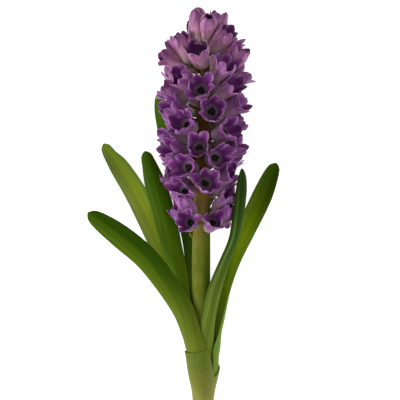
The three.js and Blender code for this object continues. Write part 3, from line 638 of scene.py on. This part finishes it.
spike = {
    "count": 65, "single": 51, "facingFloret": 16, "facingBearing": 1, "divergence": 138.05,
    "facingMouth": 144.4, "rise": 1.95, "riseGrowth": 0.0055,
    "reach": [(0, 19), (18, 20), (44, 20.5), (51, 20.5), (54, 20), (56, 17), (58, 12.5), (60, 9),
              (62, 6), (64, 3.5)],
    "lift": [(0, 4), (8, 14), (18, 22), (32, 28), (46, 38), (52, 48), (56, 62), (60, 75), (64, 86)],
    # some florets stand apart from the rule: turned by, raised by, lifted by, shut by
    "apart": {
        0: (22, 6, 0, 0), 1: (12, 8, 0, 0), 2: (0, 3, 10, 0.2), 3: (19, 0, 12, 0.25),
        5: (0, 0, 28, 0.35), 6: (0, 0, 20, 0.3), 8: (-16, 1.6, 32, 0.55), 10: (0, 0, 20, 0.3),
        11: (30, -2.6, 4, 0.1), 13: (20, 0, -14, -0.1), 14: (0, 5.2, 14, 0), 16: (8, 0, 0, 0),
        25: (-7, 0, 0, 0), 29: (0, -4.2, 0, 0), 33: (-18, 0, 0, 0), 37: (-6, 2.6, 0, 0),
        41: (-8, 0, 0, 0), 42: (0, 5, 0, 0), 45: (4, 0, 0, 0), 46: (-20, 0, 0, 0),
        50: (20, -1, 0, 0), 52: (-14, 2.8, -24, 0), 55: (0, -3.6, -8, 0.1), 57: (28, -2, 0, 0),
        58: (0, 0.6, -10, 0), 60: (8, 5.7, 12, 0.3), 61: (-26, 1.4, -4, 0), 62: (0, -5, 0, 0.1),
        63: (-4, -5, -22, 0.12), 64: (180, -2.5, 0, 0)},
    "slim": {60: 0.28},     # one bud is slimmer, by this share
    "frontLevel": [(0, 0.8), (34, 0.75), (46, 0.5), (54, 0.4), (60, 0.3), (64, 0.2)],
    "sideLift": [(0, 30), (14, 18), (26, 0)],
    "bellyLift": [(0, 18), (34, 18), (44, 0)],
    "bellyReach": [(0, -2.4), (34, -2.4), (44, 0)],
    "sideTuck": 8, "shortestStalk": 2.4,
    "drawn": {"turn": 4, "rise": 0.6, "lift": 6, "size": 0.04, "reach": 0.8, "open": 0.08, "roll": 30},
    "opening": [(0, 0.82), (30, 0.78), (42, 0.69), (51, 0.56), (56, 0.5), (60, 0.4), (63, 0.28),
                (64, 0.05)],
    "size": [(0, 0.86), (12, 1), (42, 1.04), (54, 1.1), (64, 1.16)],
    "girth": [(0, 1), (42, 1.05), (52, 1.05), (56, 0.98), (60, 0.9), (64, 0.7)],
    "stem": [(45, 6.15), (100, 6.1), (120, 5.8), (160, 5.2), (200, 4.2), (240, 1.8)],
    "neighbourReach": 34, "leafNearness": 10.5, "leafSteps": 4, "wallRounds": 12,
    "openUpTo": 44, "halfOpenUpTo": 52,
}
floretShape = {
    # the tube and the shallow bowl in it, by (distance from the foot, radius)
    "tube": [(0, 1.6), (2.8, 4), (8, 4.8), (12.5, 5.6)], "throatFlare": 14,
    "bowl": [(8, 0.6), (8.3, 2.4), (9.3, 4), (10.8, 5), (12.5, 5.6)],
    "footSlope": 80, "footShare": 0.1, "footRadius": 0.1, "slopeStep": 0.3, "throatFrom": 0.8,
    # a lobe by its length, the slope at its end, and its half width
    "lobes": 6, "lobeLength": 9, "lobeEndClosed": -95, "lobeEndOpen": 92, "spineInLobe": 0.6,
    "lobeFoot": 3.4, "lobeWidest": 4.3, "widestAt": 0.42, "furthestRound": 50,
    "lobeEnd": 0.25, "lobeBluntness": 0.72, "leavesTubeBy": 0.3,
    # how far lobes differ, curl, lap and wave; a closed one lies round the bud
    "lobeOpens": 0.36, "differsFrom": (0.1, 0.5), "wrapped": (0.72, 0.35), "cup": 1.5, "cupTo": 0.9,
    "overlap": 0.42, "overlapFades": 0.5, "edgeWave": 1.7, "waveAlong": 5, "waveStart": 3, "waveAcross": 1.2,
    "tubeWall": 0.9, "lobeWall": 0.75, "edgeThinner": 0.4, "tipThinner": 0.3,
    "columns": 4, "tubeRows": 5, "lobeRows": 7,
    "rootDrop": 2, "liftedRootDrop": 4, "stalkBend": 0.45, "stalkSunk": 1.2,
    "stalkRadius": 1, "stalkWaist": 0.92, "stalkFlare": 0.2,
}
lobeTurn = 360 / floretShape["lobes"]
antherShape = {"height": 10.2, "aside": 1.45, "radius": 1.05, "length": 1.7, "lean": 14, "uneven": 0.35}
throatU, throatRadius = floretShape["tube"][-1]
along = Vector((0, 1, axis["slope"])).normalized()


def floretPlan(index):
    # a floret's place on the spiral, the way it faces, its size and how far it is open
    drawn = spike["drawn"]
    rank = index - spike["facingFloret"]
    turned, raisedBy, lifted, shut = spike["apart"].get(index, (0, 0, 0, 0))
    turn = math.radians(spike["facingBearing"] + spike["divergence"] * rank + turned
                        + drawn["turn"] * draw(index, 1))
    y = (spike["facingMouth"] + spike["rise"] * rank + spike["riseGrowth"] * max(rank, 0) ** 2
         + raisedBy + drawn["rise"] * draw(index, 2))
    aside = math.sin(turn) ** 2
    below = max(-math.cos(turn), 0) ** 2
    facing = max(math.cos(turn), 0) ** 2
    raised = (through(spike["lift"], index) * (1 - facing * through(spike["frontLevel"], index))
              + aside * through(spike["sideLift"], index) + below * through(spike["bellyLift"], index))
    lift = math.radians(raised + lifted + drawn["lift"] * draw(index, 3))
    size = through(spike["size"], index) * (1 + drawn["size"] * draw(index, 4))
    girth = size * through(spike["girth"], index) * (1 - spike["slim"].get(index, 0))
    wanted = (through(spike["reach"], index) + below * through(spike["bellyReach"], index)
              + drawn["reach"] * draw(index, 5))
    least = through(spike["stem"], y) + spike["shortestStalk"] + throatU * size * math.cos(lift)
    reach = max(wanted - aside * spike["sideTuck"] * (index < spike["facingFloret"]), least)
    opening = min(max(through(spike["opening"], index) - shut + drawn["open"] * draw(index, 6), 0), 1)
    roll = math.radians(drawn["roll"] * draw(index, 7))
    outward = Vector((math.sin(turn), 0, math.cos(turn)))
    heading = (outward * math.cos(lift) + along * math.sin(lift)).normalized()
    upright = Vector((math.cos(turn), 0, -math.sin(turn))).cross(heading).normalized()
    first = upright * math.cos(roll) + heading.cross(upright) * math.sin(roll)
    mouth = axisPoint(y) + outward * reach
    foot = mouth - heading * throatU * size
    root = axisPoint(foot.y - floretShape["rootDrop"] - floretShape["liftedRootDrop"] * math.sin(lift))
    tip = mouth + heading * floretShape["spineInLobe"] * floretShape["lobeLength"] * size
    return {"index": index, "size": size, "girth": girth, "open": opening, "heading": heading,
            "first": first, "second": heading.cross(first), "mouth": mouth, "foot": foot,
            "root": root, "tip": tip, "walls": []}


def nearestOnSpine(plan, point):
    # the spine is the straight line from a floret's foot to a place between its lobes
    spine = plan["tip"] - plan["foot"]
    share = min(max((point - plan["foot"]).dot(spine) / spine.length_squared, 0), 1)
    return plan["foot"] + spine * share


def wallBetween(a, b):
    # florets give way to each other: each keeps to its side of a flat wall half way to its neighbour
    middleMouth = (a["mouth"] + b["mouth"]) / 2
    spread = (middleMouth - (a["root"] + b["root"]) / 2).normalized()
    normal = (b["mouth"] - a["mouth"]).normalized() + (b["root"] - a["root"]).normalized()
    normal = (normal - spread * normal.dot(spread)).normalized()
    offset = normal.dot(middleMouth)
    a["walls"].append((-normal, -offset))
    b["walls"].append((normal, offset))


def wallFromLeaf(plan, leafPoints):
    # a floret near a leaf stays on its own side of it
    near = []
    for point, facing, heading in leafPoints:
        spot = nearestOnSpine(plan, point)
        away = (point - spot).length
        if away < spike["leafNearness"]:
            near.append((away, point, spot, facing, heading))
    if not near:
        return
    _, point, spot, facing, heading = min(near, key=lambda item: item[0])
    normal = (spot - point).normalized()
    normal += facing * math.copysign(1, normal.dot(facing))
    normal = (normal - heading * normal.dot(heading)).normalized()
    offset = max(normal.dot(item[1]) for item in near) + bundle["leafFoot"][1] / 2 + bundle["gap"] / 2
    plan["walls"].append((normal, offset))


def keepInside(plan, point, margin):
    # pushes a point off each wall in turn; where that never ends, it is drawn in toward the spine
    for _ in range(spike["wallRounds"]):
        moved = False
        for normal, offset in plan["walls"]:
            short = offset + margin - normal.dot(point)
            if short > 1e-4:
                point = point + normal * short
                moved = True
        if not moved:
            return point
    anchor = nearestOnSpine(plan, point)
    share = 1
    for normal, offset in plan["walls"]:
        clear = normal.dot(anchor) - offset - margin
        beyond = offset + margin - normal.dot(point)
        if beyond > 0:
            share = min(share, clear / (clear + beyond))
    return anchor.lerp(point, max(share, 0))


def planSpike():
    # all florets with their walls, and the height at which the stem ends and the crown begins
    plans = [floretPlan(index) for index in range(spike["count"])]
    for number, plan in enumerate(plans):
        plan["walls"].append((Vector((0, 0, 1)), -bundle["gap"] / 2))
        for other in plans[number + 1:]:
            if (other["mouth"] - plan["mouth"]).length < spike["neighbourReach"]:
                wallBetween(plan, other)
    for leaf in leafPlans.values():
        rows = leafRows(leaf)
        steps = spike["leafSteps"]
        frames = [leafFrame(rows, step / steps) for step in range((len(rows) - 1) * steps + 1)]
        points = []
        for step, spot in enumerate(frames):
            before = frames[max(step - 1, 0)]["rib"]
            after = frames[min(step + 1, len(frames) - 1)]["rib"]
            facing = bearingVector(leafValue(rows, 3, step / steps))
            heading = (after - before).normalized()
            points += [(leafPoint(spot, share, 0), facing, heading) for share in (-1, -0.5, 0, 0.5, 1)]
        for plan in plans:
            wallFromLeaf(plan, points)
    cut = (plans[spike["single"] - 1]["root"].y + plans[spike["single"]]["root"].y) / 2
    margin = 2 * floretShape["stalkRadius"] + bundle["gap"]
    for plan in plans[:spike["single"]]:
        plan["root"] = axisPoint(min(plan["root"].y, cut - margin))
    for plan in plans[spike["single"]:]:
        plan["root"] = axisPoint(max(plan["root"].y, cut + margin))
    return plans, cut


def lobeLine(opening, share):
    # the middle of a lobe from the throat: distance along the axis, radius and slope
    start = math.radians(floretShape["throatFlare"])
    slopeAtEnd = blend(floretShape["lobeEndClosed"], floretShape["lobeEndOpen"], opening)
    turn = math.radians(slopeAtEnd) - start
    slope = start + turn * share
    length = floretShape["lobeLength"]
    outward = length * (math.cos(start) - math.cos(slope)) / turn
    forward = length * (math.sin(slope) - math.sin(start)) / turn
    return throatU + forward, throatRadius + outward, slope


def lobeHalfWidth(share):
    # a lobe widens to its middle and then narrows to a blunt point
    shape = floretShape
    past = max(share - shape["widestAt"], 0) / (1 - shape["widestAt"])
    broad = blend(shape["lobeFoot"], shape["lobeWidest"], ease(0, shape["widestAt"], share))
    return max(broad * max(1 - past ** 2, 0) ** shape["lobeBluntness"], shape["lobeEnd"])


def petalPoint(plan, lobe, across, height, side):
    # height runs 0 foot, 1 throat, 2 tip of the lobe; side 1 is the outer skin and -1 the inner one
    shape = floretShape
    if height <= 1:
        # filaments and pistil fill the foot of the tube, so that the inner skin is a shallow bowl
        skin = shape["tube" if side > 0 else "bowl"]
        low = skin[0][0]
        u = blend(low, throatU, height)
        radius = through(skin, u) if height > 0 else shape["footRadius"]
        ahead, behind = min(u + shape["slopeStep"], throatU), max(u - shape["slopeStep"], low)
        slope = math.atan((through(skin, ahead) - through(skin, behind)) / (ahead - behind))
        slope = blend(slope, math.radians(shape["throatFlare"]), ease(shape["throatFrom"], 1, height))
        slope = blend(math.radians(shape["footSlope"]), slope, ease(0, shape["footShare"], height))
        bearing, reach, inset, wall = across * lobeTurn / 2, radius, 0, shape["tubeWall"]
    else:
        share = min(height - 1, 1)
        # no two lobes curl back alike, and their edges wave
        own = plan["index"] * 7 + lobe
        differs = shape["lobeOpens"] * draw(own, 9) * ease(*shape["differsFrom"], plan["open"])
        u, radius, slope = lobeLine(plan["open"] + differs, share)
        half = min(lobeHalfWidth(share), math.radians(shape["furthestRound"]) * radius)
        leave = ease(0, shape["leavesTubeBy"], share)
        # an open lobe is nearly flat across, and a closed one lies round the bud
        wrap = ease(*shape["wrapped"], plan["open"])
        curved = math.degrees(across * half / radius)
        flat = math.degrees(math.atan2(across * half, radius))
        bearing = blend(across * lobeTurn / 2, blend(flat, curved, wrap), leave)
        reach = blend(radius, blend(math.hypot(radius, across * half), radius, wrap), leave)
        cupped = math.sin(math.pi * min(share, shape["cupTo"]))
        inset = shape["cup"] * across ** 2 * cupped * (1 - wrap)
        lapped = leave * (1 - shape["overlapFades"] * share)
        inset += shape["overlap"] * (1 if lobe % 2 else -1) * lapped
        thin = (1 - shape["edgeThinner"] * abs(across) ** 3) * (1 - shape["tipThinner"] * share)
        wall = blend(shape["tubeWall"], shape["lobeWall"] * thin, leave)
        wave = draw(own, 11) * math.sin(shape["waveAlong"] * share + shape["waveStart"] * draw(own, 12)
                                        + shape["waveAcross"] * across)
        inset += shape["edgeWave"] * wave * across ** 2 * leave * (1 - wrap)
    angle = math.radians(lobeTurn * lobe + bearing)
    radial = plan["first"] * math.cos(angle) + plan["second"] * math.sin(angle)
    inward = plan["heading"] * math.sin(slope) - radial * math.cos(slope)
    point = plan["foot"] + plan["heading"] * u * plan["size"] + radial * reach * plan["girth"]
    point += inward * inset
    point = keepInside(plan, point, bundle["gap"] / 2 + wall / 2)
    return point - inward * side * wall / 2


def addFloret(bm, plan):
    # a tube of six sectors and six lobes: each a bent slab, joined at their shared edges
    shape = floretShape
    lobes = shape["lobes"]

    def tube(across, alongTube, side):
        turn = (across + 1) * lobes / 2 - 0.5
        lobe = math.floor(turn + 0.5)
        inSector = (turn - lobe) * 2
        point = petalPoint(plan, lobe % lobes, inSector, alongTube, side)
        return point, Vector((abs(inSector), alongTube, 0 if side > 0 else 1))

    def lobeOf(number):
        def place(across, alongLobe, side):
            point = petalPoint(plan, number, across, 1 + alongLobe, side)
            return point, Vector((abs(across), 1 + alongLobe, 0 if side > 0 else 1))
        return place

    verts = bentSlab(bm, lobes * shape["columns"], shape["tubeRows"], tube, "petal")
    for number in range(lobes):
        verts += bentSlab(bm, shape["columns"], shape["lobeRows"], lobeOf(number), "petal")
    # walls of the slabs that end up inside the petals come out before the edges are joined
    grain = bm.verts.layers.float_vector["petal"]
    joins = []
    for face in dict.fromkeys(face for vert in verts for face in vert.link_faces):
        ribs, heights, depths = zip(*(vert[grain] for vert in face.verts))
        atThroat = max(abs(height - 1) for height in heights) < 1e-4
        atSeam = max(heights) <= 1.0001 and min(ribs) > 0.99
        if len(set(depths)) == 2 and (atThroat or atSeam):
            joins.append(face)
    bmesh.ops.delete(bm, geom=joins, context="FACES_ONLY")
    bmesh.ops.remove_doubles(bm, verts=verts, dist=0.004)


def addBead(bm, plan, height, aside, direction, radius, length):
    # one anther, kept inside its floret
    at = keepInside(plan, plan["foot"] + plan["heading"] * height * plan["size"] + aside, radius)
    turned = direction.to_track_quat("Z", "Y").to_matrix().to_4x4()
    matrix = Matrix.Translation(at) @ turned @ Matrix.Diagonal((radius, radius, length, 1))
    return bmesh.ops.create_icosphere(bm, subdivisions=1, radius=1, matrix=matrix)["verts"]


def addHeart(bm, plan, antherIndex):
    # dark anthers stand in a ring on the floor of the bowl, one between each two lobes
    lean = math.radians(antherShape["lean"])
    for number in range(floretShape["lobes"]):
        angle = math.radians(lobeTurn * (number + 0.5))
        radial = plan["first"] * math.cos(angle) + plan["second"] * math.sin(angle)
        direction = plan["heading"] * math.cos(lean) + radial * math.sin(lean)
        own = 1 + antherShape["uneven"] * draw(plan["index"] * 7 + number, 13)
        beads = addBead(bm, plan, antherShape["height"], radial * antherShape["aside"] * own, direction,
                        antherShape["radius"] * own, antherShape["length"])
        for vert in beads:
            for face in vert.link_faces:
                face.material_index = antherIndex


def stalkRings(plan, reach):
    # a stalk leaves the stem at its root and bends into the line of its floret
    end = plan["foot"] + plan["heading"] * reach
    bend = end - plan["heading"] * floretShape["stalkBend"] * (end - plan["root"]).length
    rings = []
    for share in (0, 0.25, 0.5, 0.75, 1):
        low, high = plan["root"].lerp(bend, share), bend.lerp(end, share)
        heading = (high - low).normalized()
        second = heading.cross(plan["first"]).normalized()
        flared = floretShape["stalkWaist"] + floretShape["stalkFlare"] * share ** 3
        radius = floretShape["stalkRadius"] * flared
        rings.append((low.lerp(high, share), second.cross(heading), second, radius))
    return rings


stemShape = {
    # heights of the rings above the sheath and in the crown; the stem is a little inside its bundle
    "rings": [48, 60, 75, *range(88, 197, 12)], "crownRings": [225, 236, 241, 242],
    "share": 0.99, "edge": 0.5, "sides": 28, "crownSides": 20, "stalkSides": 8,
}


def stemRings(places):
    rings = []
    for y in places:
        radius = bundleAt(y)["stem"] if y <= bundle["rows"][-1] else through(spike["stem"], y)
        rings.append((axisPoint(y), Vector((1, 0, 0)), Vector((0, 0, 1)), radius * stemShape["share"]))
    return rings


def newPlantMesh():
    bm = bmesh.new()
    bm.verts.layers.float_vector.new("petal")
    bm.verts.layers.float.new("turn")
    return bm


def toneOf(index):
    if index < spike["openUpTo"]:
        return "petalOpenFlower"
    return "petalHalfOpenFlower" if index < spike["halfOpenUpTo"] else "petalBud"


plans, stemCut = planSpike()
print("spike planned")

for plan in plans[:spike["single"]]:
    bm = newPlantMesh()
    addFloret(bm, plan)
    addHeart(bm, plan, 1)
    finishPiece(f"floret_{plan['index'] + 1:02d}Fine", bm,
                [petalMaterials[toneOf(plan["index"])], antherMaterial])
print("florets made")

# the crown: the tip of the stem with the topmost florets and buds
bm = newPlantMesh()
crownFoot = stemCut + bundle["gap"] / 2
sweptTube(bm, stemRings([crownFoot, stemCut + 4, *stemShape["crownRings"]]), stemShape["crownSides"])
for plan in plans[spike["single"]:]:
    sweptTube(bm, stalkRings(plan, floretShape["stalkSunk"]), stemShape["stalkSides"])
for face in bm.faces:
    face.material_index = 1
for plan in plans[spike["single"]:]:
    addFloret(bm, plan)
finishPiece("crownFine", bm, [petalMaterials["petalBud"], stalkMaterial])

# the flower stem with the short stalks of the florets
bm = newPlantMesh()
stemTop = stemCut - bundle["gap"] / 2
sweptTube(bm, stemRings([0, stemShape["edge"], *bundle["rows"][1:], *stemShape["rings"],
                         stemCut - 0.6, stemTop]), stemShape["sides"])
for plan in plans[:spike["single"]]:
    sweptTube(bm, stalkRings(plan, -bundle["gap"]), stemShape["stalkSides"])
# the face at the cut shows the flesh
for face in bm.faces:
    if face.calc_center_median().y < 0.01:
        face.material_index = 1
finishPiece("scapeFine", bm, [stalkMaterial, cutMaterial])
print("stem made")


# table, light and camera

studio = {
    # metres and watts; each light has its place, its watts and its width
    "tableSize": 4, "tableDrop": 0.0002, "tableColour": "#f4f4f2", "glow": 0.72, "world": 0.42,
    "lights": {"softLeft": ((-0.9, -0.25, 0.45), 9.6, 0.7), "softRight": ((0.9, 0.1, 0.45), 3.5, 0.7),
               "softTop": ((0, -0.3, 1.2), 2, 0.8)},
}

bm = bmesh.new()
bmesh.ops.create_grid(bm, x_segments=1, y_segments=1, size=studio["tableSize"])
bmesh.ops.translate(bm, verts=bm.verts[:], vec=(0, 0, -studio["tableDrop"]))
tableMesh = bpy.data.meshes.new("table")
bm.to_mesh(tableMesh)
bm.free()
table = bpy.data.objects.new("table", tableMesh)
scene.collection.objects.link(table)
tableMaterial, tree = newMaterial("whiteTable")
glowing = addNode(tree, "BsdfPrincipled", {
    "Base Color": hexColour(studio["tableColour"]), "Roughness": 0.9,
    "Emission Color": (1, 1, 1, 1), "Emission Strength": studio["glow"]})
addNode(tree, "OutputMaterial", {0: glowing})
tableMesh.materials.append(tableMaterial)

world = bpy.data.worlds.new("paleRoom")
world.use_nodes = True
background = world.node_tree.nodes["Background"]
background.inputs[0].default_value = (1, 1, 1, 1)
background.inputs[1].default_value = studio["world"]
scene.world = world

for name, (place, watts, width) in studio["lights"].items():
    lamp = bpy.data.lights.new(name, "AREA")
    lamp.energy = watts
    lamp.shape = "SQUARE"
    lamp.size = width
    light = bpy.data.objects.new(name, lamp)
    light.location = place
    light.rotation_euler = (-Vector(place)).to_track_quat("-Z", "Y").to_euler()
    scene.collection.objects.link(light)

# the camera looks straight down; the view is this wide, in metres, at the height of the spike's middle
lens = {"focal": 150, "sensor": 36, "viewWidth": 0.260, "middle": (0.0112, 0.0049), "planeHeight": 0.025}
camera = bpy.data.objects.new("camera", bpy.data.cameras.new("camera"))
camera.data.lens = lens["focal"]
camera.data.sensor_width = lens["sensor"]
distance = lens["viewWidth"] * lens["focal"] / lens["sensor"]
camera.location = (*lens["middle"], lens["planeHeight"] + distance)
camera.data.clip_start, camera.data.clip_end = 0.05, 20
scene.collection.objects.link(camera)
scene.camera = camera
scene.view_settings.view_transform = "Standard"
print("scene set")
